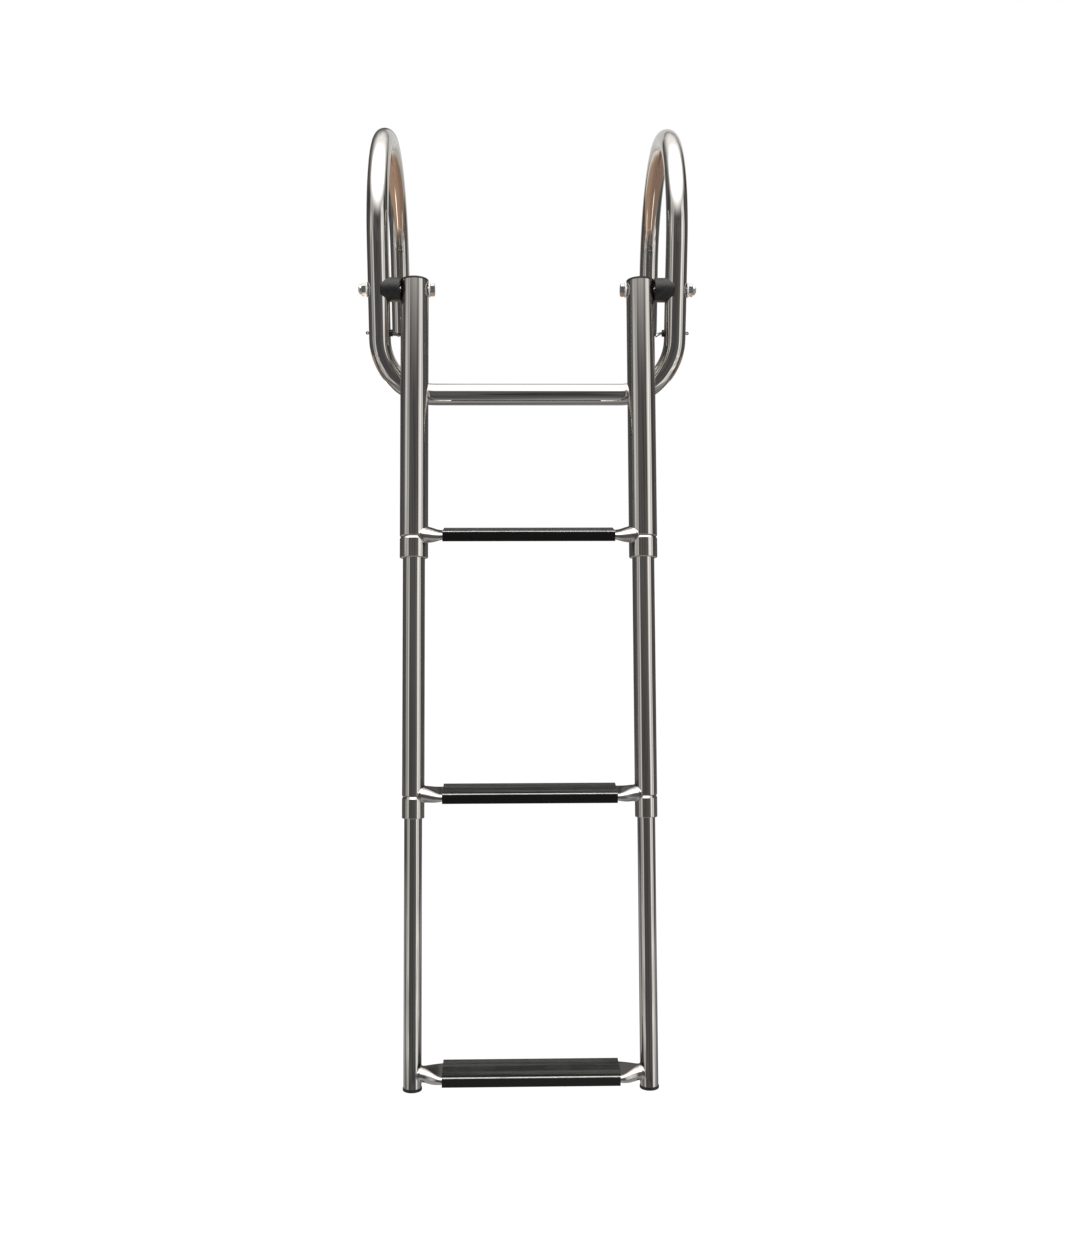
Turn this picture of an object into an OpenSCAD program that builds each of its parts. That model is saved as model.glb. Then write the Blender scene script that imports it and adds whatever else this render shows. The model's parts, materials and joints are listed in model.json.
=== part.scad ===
// Hook-on boarding ladder with three telescoping sections, in millimetres.
// Frame: +X to the right, +Y towards the boat, +Z up, with the ladder as it hangs in use.
// The origin is the middle of the gunwale seat, at the inside top of the two hook bends.

/* [Hook frame] */
// Outside diameter of the hook tube
frame_d = 25; // [19:0.5:32]
// Wall of the hook tube
frame_wall = 1.5; // [1:0.1:3]
// Clear width between the legs of a hook
gunwale_width = 250; // [150:1:400]
// Height of the gunwale seat above the pivot bolts
seat_rise = 177.5; // [160:0.5:300]
// Length of the back leg below the gunwale seat
back_leg_drop = 211; // [150:1:320]
// Gap between a front leg and its upright
leg_gap = 12.7; // [8:0.1:25]
// Drop of the cross tube below the pivot bolts
cross_drop = 118.5; // [100:0.5:180]
// Centre-line radius of the two lower bends
cross_bend_radius = 63; // [50:0.5:80]
// Straight end of the cross tube above each lower bend
socket_straight = 2.5; // [2:0.5:10]
// Height of the split pin above the slip joint
pin_above_joint = 4.5; // [4:0.5:12]
// Length of the ferrule inside the hook's leg
ferrule_reach = 22; // [12:1:30]
// Wall of the ferrule
ferrule_wall = 2; // [1:0.1:3]

/* [Pivot] */
// Diameter of the pivot bolts
bolt_d = 8; // [6:1:10]
// Hexagon across the flats
hex_flats = 13; // [10:0.5:17]
// Height of the bolt head
bolt_head = 5.3; // [4:0.1:7]
// Height of the lock nut
lock_nut = 8; // [6:0.1:10]
// Outside diameter of the washers
washer_d = 17; // [14:0.5:24]
// Thickness of the washers
washer_t = 1.6; // [1:0.1:2.5]
// Bolt thread that shows past the lock nut
bolt_tail = 1; // [0.5:0.1:4]
// Outside diameter of the saddle spacers
spacer_d = 27.5; // [20:0.5:29]
// Diameter of the split pins
split_pin_d = 3; // [2:0.1:4]
// Outside diameter of the pin grommets
grommet_d = 8; // [6:0.1:12]
// Thickness of the pin grommets
grommet_t = 2.5; // [1.5:0.1:4]

/* [Uprights] */
// Distance between the axes of the uprights
upright_spacing = 260; // [220:1:360]
// Outside diameter of the upper tubes
upper_d = 32; // [28:0.5:38]
// Outside diameter of the middle tubes
middle_d = 25; // [22:0.5:30]
// Outside diameter of the lower tubes
lower_d = 20; // [16:0.5:24]
// Wall of the upper tubes
upper_wall = 1.5; // [1:0.1:2]
// Wall of the middle and lower tubes
inner_wall = 1.2; // [0.8:0.1:1.6]
// Top of the upper tubes above the pivot bolts
top_reach = 8.5; // [7:0.5:20]
// Drop of a tube's end, at the collar groove, below its step
groove_drop = 2.4; // [1:0.1:6]
// Height of a collar
collar_height = 24; // [16:0.5:40]
// Chamfer on each side of the collar groove
groove_chamfer = 1; // [0.4:0.1:1.1]
// Height of the sloping shoulder at the top of a collar
collar_shoulder = 2.6; // [1:0.1:6]
// Flat that is left round the bore at the top of that shoulder
collar_land = 0.2; // [0.1:0.05:0.4]
// Bottom of the lower tubes below the lowest step
foot_reach = 14; // [11:0.5:40]
// Thickness of the caps and plugs outside their tubes
cap_t = 3.6; // [2.6:0.1:6]
// Straight part of that thickness, below the dome
cap_rim = 2.2; // [0.8:0.1:2.4]
// Depth of the caps and plugs inside their tubes
plug_depth = 3.5; // [2:0.1:4]
// Thickness of a foot plug below its tube
foot_t = 5; // [3:0.1:8]
// Reach of a foot plug past the side of its tube
foot_lip = 0.6; // [0:0.1:2]

/* [Steps] */
// Drop of the first step below the pivot bolts, along the uprights
first_step_drop = 284.5; // [260:0.5:340]
// Pitch from the first step to the second
second_pitch = 291.5; // [275:0.5:300]
// Pitch from the second step to the third
third_pitch = 304.3; // [280:0.5:310]
// Diameter of the step tube before it is flattened
step_tube_d = 25; // [22:0.5:30]
// Wall of the step tube
step_wall = 1.2; // [1:0.1:1.6]
// Height of the step tube where it is flattened
flat_height = 8; // [5:0.1:10]
// Height of the step tube at the uprights
end_height = 16.4; // [12:0.1:20]
// Length of a tread
tread_length = 194; // [150:1:200]
// Wall of a tread at its front, back and under the step tube
tread_wall = 1.4; // [1.2:0.1:2.5]
// Wall of a tread above the step tube, without its ribs
tread_top = 1.3; // [1:0.1:3]
// Height of the tread's ribs
rib_height = 0.8; // [0.4:0.1:2]
// Number of ribs on a tread
rib_count = 8; // [5:1:13]
// Radius of a tread's long corners
tread_corner = 0.9; // [0.4:0.1:1.4]
// Reach of a tread's lips under the step tube
lip_reach = 8; // [4:0.5:14]

/* [Telescope] */
// Reach of a guide bush above its collar
bush_reach = 12; // [6:0.5:20]
// Height of a stop ring
stop_height = 10; // [6:0.5:16]
// Lip of a stop ring over its tube's end
stop_lip = 1.5; // [1:0.1:3]

/* [Clearances] */
// Gap between curved faces that slide or swing past each other
running_gap = 0.3; // [0.2:0.05:0.5]
// Gap round a piece that is fixed in its seat
seat_gap = 0.05; // [0.02:0.01:0.1]
// Radial gap of the pivot bolts in the uprights
pivot_gap = 0.08; // [0.03:0.01:0.1]
// Gap between an upright and the bend that stops it
rest_gap = 0.4; // [0.3:0.05:1]

/* [Hidden] */
$fn = 64;
ring_points = 44;
taper_rings = 7;
dome_points = 8;
tread_corner_points = 5;
overcut = 1;
steel = [0.72, 0.73, 0.74];
bright = [0.85, 0.85, 0.86];
black = [0.09, 0.09, 0.09];
nylon = [0.88, 0.87, 0.82];

// Places of the hook frame
upright_x = upright_spacing / 2;
leg_x = upright_x + upper_d / 2 + leg_gap + frame_d / 2;
hook_radius = gunwale_width / 2 + frame_d / 2;
arc_z = -gunwale_width / 2;
pivot_y = -hook_radius;
pivot_z = -seat_rise;
bend_x = leg_x - cross_bend_radius;
bend_z = pivot_z - cross_drop + cross_bend_radius;
joint_z = bend_z + socket_straight;
pin_z = joint_z + pin_above_joint;
frame_bore = frame_d - 2 * frame_wall;
ferrule_d = frame_bore - 2 * seat_gap;

// Lean of the ladder at which its uprights meet the lower bends of the frame
stop_offset = max(0, upright_x - bend_x);
stop_height_in_bend = sqrt(pow(cross_bend_radius, 2) - pow(stop_offset, 2));
stop_slope = stop_offset / stop_height_in_bend;
stop_drop = cross_drop - cross_bend_radius + stop_height_in_bend;
stop_distance = upper_d / 2 + frame_d / 2 + rest_gap;
lean = asin(stop_distance / sqrt(pow(stop_drop, 2) - pow(stop_distance * stop_slope, 2)));

// Heights along the uprights, from the pivot bolts
upper_step_z = -first_step_drop;
middle_step_z = upper_step_z - second_pitch;
lower_step_z = middle_step_z - third_pitch;
upper_end = upper_step_z - groove_drop;
middle_end = middle_step_z - groove_drop;
lower_end = lower_step_z - foot_reach;
middle_top = upper_end + bush_reach + running_gap + stop_height;
lower_top = middle_end + bush_reach + running_gap + stop_height;
upper_bore = upper_d - 2 * upper_wall;
middle_bore = middle_d - 2 * inner_wall;
lower_bore = lower_d - 2 * inner_wall;

// Sizes of the pivot bolts across one side of the ladder
head_seat = upright_x - upper_d / 2 - running_gap;
nut_seat = leg_x + frame_d / 2 + seat_gap;

// Sizes of the steps
flat_width = flat_height + PI * (step_tube_d - flat_height) / 2;
round_width = end_height + PI * (step_tube_d - end_height) / 2;
cavity_width = flat_width + 2 * seat_gap;
cavity_height = flat_height + 2 * seat_gap;
tread_depth = cavity_width + 2 * tread_wall;
tread_rise = tread_wall + cavity_height + tread_top + rib_height;
rib_width = tread_depth / (2 * rib_count - 1);

// Ways from 0 to 1: the top of a step tube eases in and out, its underside drops at once
function smooth(u) = u * u * (3 - 2 * u);
function quick(u) = u * (2 - u);

// Outline of a flattened tube: two half rounds joined by flats, with its points evenly spaced
function flat_ring(w, h) =
    let (flat = w - h, turn = PI * h / 2, half_points = ring_points / 2)
    [for (side = [1, -1], i = [0 : half_points - 1])
        let (s = (flat + turn) * (i + 0.5) / half_points,
             a = 180 * min(s, turn) / turn - 90)
        side * [flat / 2 - max(0, s - turn) + h / 2 * cos(a), h / 2 * sin(a)]];

// Places a child in the ladder's own frame: origin at the pivot bolts, +Z up the uprights
module on_ladder() {
    translate([0, pivot_y, pivot_z]) rotate([-lean, 0, 0]) children();
}

module on_upright(side) {
    on_ladder() translate([side * upright_x, 0, 0]) children();
}

module on_both_uprights() {
    for (side = [-1, 1]) on_upright(side) children();
}

// Places a child at a pivot bolt with +X pointing outwards
module on_pivot(side) {
    translate([0, pivot_y, pivot_z]) mirror([side < 0 ? 1 : 0, 0, 0]) children();
}

module along_x(from, to, d) {
    translate([from, 0, 0]) rotate([0, 90, 0]) cylinder(h = to - from, d = d);
}

module ring(outer_d, inner_d, from, to) {
    translate([0, 0, from]) difference() {
        cylinder(h = to - from, d = outer_d);
        translate([0, 0, -overcut]) cylinder(h = to - from + 2 * overcut, d = inner_d);
    }
}

// Hooks and cross tube

module hook_core(d, extra) {
    leg = arc_z - joint_z;
    translate([0, -hook_radius, joint_z - extra]) cylinder(h = leg + extra, d = d);
    translate([0, 0, arc_z]) rotate([90, 0, 90])
        rotate_extrude(angle = 180) translate([hook_radius, 0]) circle(d = d);
    translate([0, hook_radius, -back_leg_drop - extra])
        cylinder(h = back_leg_drop + arc_z + extra, d = d);
}

module hook(side) {
    color(steel) difference() {
        translate([side * leg_x, 0, 0]) difference() {
            hook_core(frame_d, 0);
            hook_core(frame_bore, overcut);
        }
        on_pivot(side) along_x(leg_x - frame_d, leg_x + frame_d, bolt_d + 2 * seat_gap);
        translate([0, pivot_y, pin_z]) mirror([side < 0 ? 1 : 0, 0, 0])
            along_x(leg_x - frame_d, leg_x + frame_d, split_pin_d + 2 * seat_gap);
    }
}

module left_hook() { hook(-1); }
module right_hook() { hook(1); }

module cross_core(d, extra) {
    translate([0, pivot_y, bend_z - cross_bend_radius]) along_x(-bend_x, bend_x, d);
    for (side = [0, 1]) mirror([side, 0, 0]) {
        translate([bend_x, pivot_y, bend_z]) rotate([90, 0, 0]) rotate([0, 0, -90])
            rotate_extrude(angle = 90) translate([cross_bend_radius, 0]) circle(d = d);
        translate([leg_x, pivot_y, bend_z]) cylinder(h = socket_straight + extra, d = d);
    }
}

module cross_tube() {
    color(steel) difference() {
        cross_core(frame_d, -seat_gap);
        cross_core(frame_bore, overcut);
    }
}

// Sleeves fixed in the ends of the cross tube, on which the hooks are slipped and pinned
module joint_ferrules() {
    color(steel) for (side = [-1, 1]) difference() {
        translate([side * leg_x, pivot_y, 0])
            ring(ferrule_d, ferrule_d - 2 * ferrule_wall, bend_z, joint_z + ferrule_reach);
        translate([side * leg_x, pivot_y, pin_z])
            along_x(-frame_d, frame_d, split_pin_d + 2 * seat_gap);
    }
}

// Split pin: an eye outside the leg, and a tail bent down beside the upright
module split_pins() {
    eye_d = 1.6 * split_pin_d;
    tail_start = frame_d / 2 + grommet_t + split_pin_d / 2;
    tail_length = leg_gap - grommet_t - split_pin_d;
    tail_angle = 30;
    color(bright) for (side = [0, 1]) mirror([side, 0, 0])
        translate([leg_x, pivot_y, pin_z]) {
            along_x(-tail_start, frame_d / 2 + seat_gap, split_pin_d);
            translate([frame_d / 2 + seat_gap, 0, 0]) rotate([0, 90, 0])
                cylinder(h = eye_d / 2, d1 = split_pin_d, d2 = eye_d);
            translate([-tail_start, 0, 0]) sphere(d = split_pin_d);
            translate([-tail_start, 0, 0]) rotate([0, -90 - tail_angle, 0])
                cylinder(h = tail_length, d = split_pin_d);
        }
}

module pin_grommets() {
    color(black) for (side = [0, 1]) mirror([side, 0, 0])
        translate([leg_x, pivot_y, pin_z]) difference() {
            along_x(-frame_d / 2 - grommet_t, 0, grommet_d);
            translate([0, 0, -grommet_d]) cylinder(h = 2 * grommet_d, d = frame_d + 2 * seat_gap);
            along_x(-frame_d, frame_d, split_pin_d + 2 * seat_gap);
        }
}

// Push-in plug with a domed head, for a tube end that faces up at height 0
module domed_plug(head_d, head_t, bore) {
    stem = bore / 2 - seat_gap;
    dome = [for (i = [0 : dome_points]) let (a = 90 * i / dome_points)
        [head_d / 2 * cos(a), cap_rim + (head_t - cap_rim) * sin(a)]];
    rotate_extrude() polygon(concat(
        [[0, -plug_depth], [stem, -plug_depth], [stem, 0], [head_d / 2, 0]], dome));
}

module hook_plug(side) {
    color(black) translate([side * leg_x, hook_radius, -back_leg_drop]) rotate([180, 0, 0])
        domed_plug(frame_d - frame_wall, cap_t, frame_bore);
}

module left_hook_plug() { hook_plug(-1); }
module right_hook_plug() { hook_plug(1); }

// Pivot bolts

module pivot_bolts() {
    head_face = head_seat - washer_t;
    color(bright) for (side = [-1, 1]) on_pivot(side) {
        along_x(head_face, nut_seat + washer_t + lock_nut + bolt_tail, bolt_d);
        translate([head_face - bolt_head, 0, 0]) rotate([0, 90, 0])
            cylinder(h = bolt_head, d = hex_flats / cos(30), $fn = 6);
    }
}

module pivot_nuts() {
    color(bright) for (side = [-1, 1]) on_pivot(side) difference() {
        translate([nut_seat + washer_t, 0, 0]) rotate([0, 90, 0])
            cylinder(h = lock_nut, d = hex_flats / cos(30), $fn = 6);
        along_x(nut_seat, nut_seat + 2 * lock_nut, bolt_d + 2 * seat_gap);
    }
}

module pivot_washers() {
    color(bright) for (side = [-1, 1]) on_pivot(side)
        for (face = [head_seat - washer_t, nut_seat]) difference() {
            along_x(face, face + washer_t, washer_d);
            along_x(face - overcut, face + washer_t + overcut, bolt_d + 2 * seat_gap);
        }
}

// Saddle spacer: hollowed to sit on the leg, flat towards the upright
module spacer(side) {
    flat_face = upright_x + upper_d / 2 + running_gap;
    horn_end = leg_x - frame_d / 8;
    color(black) on_pivot(side) difference() {
        along_x(flat_face, horn_end, spacer_d);
        translate([leg_x, 0, -spacer_d]) cylinder(h = 2 * spacer_d, d = frame_d + 2 * seat_gap);
        along_x(flat_face - overcut, leg_x, bolt_d + 2 * seat_gap);
    }
}

module left_spacer() { spacer(-1); }
module right_spacer() { spacer(1); }

// Telescoping uprights

// Tube with a chamfer round its lower end, for the collar groove
module section_tube(d, bore, from, to, chamfer) {
    rotate_extrude() polygon([
        [bore / 2, from], [d / 2 - chamfer, from], [d / 2, from + chamfer],
        [d / 2, to], [bore / 2, to]]);
}

module upper_tube(side) {
    color(steel) on_upright(side) difference() {
        section_tube(upper_d, upper_bore, upper_end, top_reach, groove_chamfer);
        along_x(-upper_d, upper_d, bolt_d + 2 * pivot_gap);
    }
}

module left_upper_tube() { upper_tube(-1); }
module right_upper_tube() { upper_tube(1); }

module middle_tube(side) {
    color(steel) on_upright(side)
        section_tube(middle_d, middle_bore, middle_end, middle_top, groove_chamfer);
}

module left_middle_tube() { middle_tube(-1); }
module right_middle_tube() { middle_tube(1); }

module lower_tube(side) {
    color(steel) on_upright(side) section_tube(lower_d, lower_bore, lower_end, lower_top, 0);
}

module left_lower_tube() { lower_tube(-1); }
module right_lower_tube() { lower_tube(1); }

// Collar under a tube's end, with a sloping shoulder that leaves a groove between them
module collar(d, bore, top) {
    bottom = top - collar_height;
    break_edge = groove_chamfer / 2;
    rotate_extrude() polygon([
        [bore / 2, bottom], [d / 2 - break_edge, bottom], [d / 2, bottom + break_edge],
        [d / 2, top - collar_shoulder], [bore / 2 + collar_land, top], [bore / 2, top]]);
}

module upper_collar(side) {
    color(bright) on_upright(side) collar(upper_d, upper_bore, upper_end - seat_gap);
}

module left_upper_collar() { upper_collar(-1); }
module right_upper_collar() { upper_collar(1); }

module middle_collar(side) {
    color(bright) on_upright(side) collar(middle_d, middle_bore, middle_end - seat_gap);
}

module left_middle_collar() { middle_collar(-1); }
module right_middle_collar() { middle_collar(1); }

// Guide bush that joins a collar to its tube and guides the next tube
module bush(bore, next_d, end) {
    ring(bore - 2 * seat_gap, next_d + 2 * running_gap, end - collar_height, end + bush_reach);
}

module upper_bushes() {
    color(nylon) on_both_uprights() bush(upper_bore, middle_d, upper_end);
}

module middle_bushes() {
    color(nylon) on_both_uprights() bush(middle_bore, lower_d, middle_end);
}

// Stop ring on the top of a tube: it guides the tube and stops it on the bush below
module stop_ring(tube_d, tube_bore, outer_bore, top) {
    ring_d = outer_bore - 2 * running_gap;
    ring(ring_d, tube_d + 2 * seat_gap, top - stop_height, top + seat_gap);
    ring(ring_d, tube_bore, top + seat_gap, top + seat_gap + stop_lip);
}

module middle_stop_rings() {
    color(nylon) on_both_uprights() stop_ring(middle_d, middle_bore, upper_bore, middle_top);
}

module lower_stop_rings() {
    color(nylon) on_both_uprights() stop_ring(lower_d, lower_bore, middle_bore, lower_top);
}

module top_cap(side) {
    color(black) on_upright(side) translate([0, 0, top_reach]) domed_plug(upper_d, cap_t, upper_bore);
}

module left_top_cap() { top_cap(-1); }
module right_top_cap() { top_cap(1); }

module foot_plug(side) {
    color(black) on_upright(side) translate([0, 0, lower_end]) rotate([180, 0, 0])
        domed_plug(lower_d + 2 * foot_lip, foot_t, lower_bore);
}

module left_foot_plug() { foot_plug(-1); }
module right_foot_plug() { foot_plug(1); }

// Steps

// Points of a step tube's skin, set in from its outside by inset. The rings go from flat, at the tread,
// to oval, where the end is cut to the round of the upright, with an underside that stays nearly level.
function step_skin(upright_d, inset) =
    let (end_width = min(round_width, upright_d - 2 * step_wall),
         end_rise = min(end_height, end_width),
         start_x = tread_length / 2,
         weld_radius = upright_d / 2 + seat_gap,
         end_ring = flat_ring(end_width - 2 * inset, end_rise - 2 * inset),
         stations = concat([for (k = [taper_rings : -1 : 0]) [-1, k / taper_rings]],
                           [for (k = [0 : taper_rings]) [1, k / taper_rings]]))
    [for (s = stations)
        let (width = flat_width + (end_width - flat_width) * smooth(s[1]) - 2 * inset,
             above = flat_height / 2 + (end_rise - flat_height) / 2 * smooth(s[1]),
             below = flat_height / 2 + (end_rise - flat_height) / 2 * quick(s[1]),
             middle = (above - below) / 2,
             points = flat_ring(width, above + below - 2 * inset))
        for (i = [0 : ring_points - 1])
            let (across = end_ring[i][0] * cos(lean) - end_ring[i][1] * sin(lean),
                 end_x = upright_x - sqrt(pow(weld_radius, 2) - pow(across, 2)))
            [s[0] * (start_x + (end_x - start_x) * s[1]), points[i][0], points[i][1] + middle]];

module step_tube(upright_d, z) {
    outer = step_skin(upright_d, 0);
    inner = step_skin(upright_d, step_wall);
    shift = len(outer);
    last = shift - ring_points;
    bands = shift / ring_points - 1;
    function next(i) = (i + 1) % ring_points;
    outside = [for (b = [0 : bands - 1], i = [0 : ring_points - 1]) let (o = b * ring_points)
        let (here = o + i, there = o + next(i))
        each [[here, here + ring_points, there + ring_points], [here, there + ring_points, there]]];
    inside = [for (f = outside) [f[2] + shift, f[1] + shift, f[0] + shift]];
    start_rim = [for (i = [0 : ring_points - 1])
        each [[i, next(i), shift + next(i)], [i, shift + next(i), shift + i]]];
    end_rim = [for (f = start_rim) [f[2] + last, f[1] + last, f[0] + last]];
    color(steel) on_ladder() translate([0, 0, z]) rotate([lean, 0, 0])
        polyhedron(concat(outer, inner), concat(outside, inside, start_rim, end_rim), convexity = 6);
}

module upper_step_tube() { step_tube(upper_d, upper_step_z); }
module middle_step_tube() { step_tube(middle_d, middle_step_z); }
module lower_step_tube() { step_tube(lower_d, lower_step_z); }

// Section of a tread: a C that clips round the flattened tube, with grooves along its top that leave
// a rib flush with its front and one flush with its back
module tread_section() {
    bottom = -cavity_height / 2 - tread_wall;
    outline = [for (side = [0 : 3], i = [0 : tread_corner_points])
        let (a = 90 * (side + i / tread_corner_points),
             centre_y = (side == 0 || side == 3 ? 1 : -1) * (tread_depth / 2 - tread_corner),
             centre_z = bottom + tread_rise / 2 + (side < 2 ? 1 : -1) * (tread_rise / 2 - tread_corner))
        [centre_y + tread_corner * cos(a), centre_z + tread_corner * sin(a)]];
    slot = cavity_width - 2 * lip_reach;
    difference() {
        polygon(outline);
        square([cavity_width, cavity_height], center = true);
        translate([-slot / 2, bottom - overcut]) square([slot, tread_wall + 2 * overcut]);
        for (i = [0 : rib_count - 2])
            translate([(2 * i + 1) * rib_width - tread_depth / 2, bottom + tread_rise - rib_height])
                square([rib_width, rib_height + overcut]);
    }
}

module tread(z) {
    color(black) on_ladder() translate([0, 0, z]) rotate([lean, 0, 0])
        rotate([90, 0, 90]) translate([0, 0, -tread_length / 2])
            linear_extrude(height = tread_length) tread_section();
}

module upper_tread() { tread(upper_step_z); }
module middle_tread() { tread(middle_step_z); }
module lower_tread() { tread(lower_step_z); }

left_hook();
right_hook();
cross_tube();
joint_ferrules();
split_pins();
pin_grommets();
left_hook_plug();
right_hook_plug();
pivot_bolts();
pivot_nuts();
pivot_washers();
left_spacer();
right_spacer();
left_upper_tube();
right_upper_tube();
left_top_cap();
right_top_cap();
upper_step_tube();
upper_tread();
left_upper_collar();
right_upper_collar();
upper_bushes();
left_middle_tube();
right_middle_tube();
middle_step_tube();
middle_tread();
left_middle_collar();
right_middle_collar();
middle_bushes();
middle_stop_rings();
left_lower_tube();
right_lower_tube();
lower_step_tube();
lower_tread();
left_foot_plug();
right_foot_plug();
lower_stop_rings();
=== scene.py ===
"""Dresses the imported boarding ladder: polished tube, ribbed treads, fasteners, studio and camera."""

from __future__ import annotations

import json
import logging
import math
from collections.abc import Callable, Iterable, Mapping, Sequence
from dataclasses import dataclass
from enum import Enum
from typing import Any, Union

import bmesh
import bpy
from mathutils import Matrix, Vector

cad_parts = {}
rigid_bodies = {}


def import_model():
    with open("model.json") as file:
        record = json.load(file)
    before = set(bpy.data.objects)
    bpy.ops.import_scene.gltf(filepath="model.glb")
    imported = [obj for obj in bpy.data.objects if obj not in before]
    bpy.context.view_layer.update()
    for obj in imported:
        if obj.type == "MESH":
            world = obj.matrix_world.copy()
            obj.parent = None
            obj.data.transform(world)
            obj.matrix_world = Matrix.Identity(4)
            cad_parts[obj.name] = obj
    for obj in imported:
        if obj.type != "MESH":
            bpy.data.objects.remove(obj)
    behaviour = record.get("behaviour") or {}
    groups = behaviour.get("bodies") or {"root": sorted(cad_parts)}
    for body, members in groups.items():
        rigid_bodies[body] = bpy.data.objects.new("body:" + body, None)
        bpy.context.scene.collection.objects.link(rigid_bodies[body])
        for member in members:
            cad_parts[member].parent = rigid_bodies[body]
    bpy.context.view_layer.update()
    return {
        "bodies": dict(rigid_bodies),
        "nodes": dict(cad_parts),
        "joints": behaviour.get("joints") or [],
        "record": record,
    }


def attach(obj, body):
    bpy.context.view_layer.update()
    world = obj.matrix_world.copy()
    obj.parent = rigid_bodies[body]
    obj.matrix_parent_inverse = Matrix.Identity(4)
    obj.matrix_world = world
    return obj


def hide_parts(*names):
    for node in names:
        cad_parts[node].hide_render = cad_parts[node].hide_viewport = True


LOG = logging.getLogger("boarding_ladder")
MM = 0.001
LEAN = math.radians(14.6706)
PIVOT = Vector((0.0, -0.1375, -0.1775))
UPRIGHT_X = 130.0
LEG_X = 171.2
FRAME_RADIUS = 12.5
MIDDLE = Vector((0.0, -0.16, -0.50))
FLOOR_Z = -1.40
ORIGIN = (0.0, 0.0, 0.0)
EVEN = (1.0, 1.0, 1.0)
WHITE = (1.0, 1.0, 1.0)

Colour = tuple[float, float, float]
Span = tuple[float, float]
Station = Callable[[float], Vector]


def rgba(colour: Colour) -> tuple[float, float, float, float]:
    """Returns the colour with full opacity."""
    return (*colour, 1.0)


def on_upright(drop: float) -> Vector:
    """Returns the point midway between the uprights, so many millimetres below the pivot bolts."""
    return PIVOT + Matrix.Rotation(-LEAN, 3, "X") @ Vector((0, 0, -drop * MM))


class Wire:
    """A shader value: one output socket, with arithmetic that adds Math nodes."""

    def __init__(self, board: "NodeBoard", socket: bpy.types.NodeSocket) -> None:
        """Keeps the board and the socket."""
        self.board = board
        self.socket = socket

    def _math(self, operation: str, first: "Operand", second: "Operand") -> "Wire":
        """Adds a Math node.

        Args:
            operation: The Math node's operation.
            first: The upper value or wire.
            second: The lower value or wire.

        Returns:
            The result as a wire.
        """
        node = self.board.add("ShaderNodeMath", {"operation": operation}, {0: first, 1: second})
        return Wire(self.board, node.outputs[0])

    def __add__(self, other: "Operand") -> "Wire":
        """Returns this plus other."""
        return self._math("ADD", self, other)

    def __radd__(self, other: "Operand") -> "Wire":
        """Returns other plus this."""
        return self._math("ADD", other, self)

    def __sub__(self, other: "Operand") -> "Wire":
        """Returns this less other."""
        return self._math("SUBTRACT", self, other)

    def __rsub__(self, other: "Operand") -> "Wire":
        """Returns other less this."""
        return self._math("SUBTRACT", other, self)

    def __mul__(self, other: "Operand") -> "Wire":
        """Returns this times other."""
        return self._math("MULTIPLY", self, other)

    def __rmul__(self, other: "Operand") -> "Wire":
        """Returns other times this."""
        return self._math("MULTIPLY", other, self)

    def most(self, other: "Operand") -> "Wire":
        """Returns the larger of the two."""
        return self._math("MAXIMUM", self, other)

    def root(self) -> "Wire":
        """Returns the square root."""
        return self._math("SQRT", self, 0.0)

    def turn(self, other: "Operand") -> "Wire":
        """Returns the angle whose tangent is this over other."""
        return self._math("ARCTAN2", self, other)


Operand = Union[Wire, float]


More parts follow.
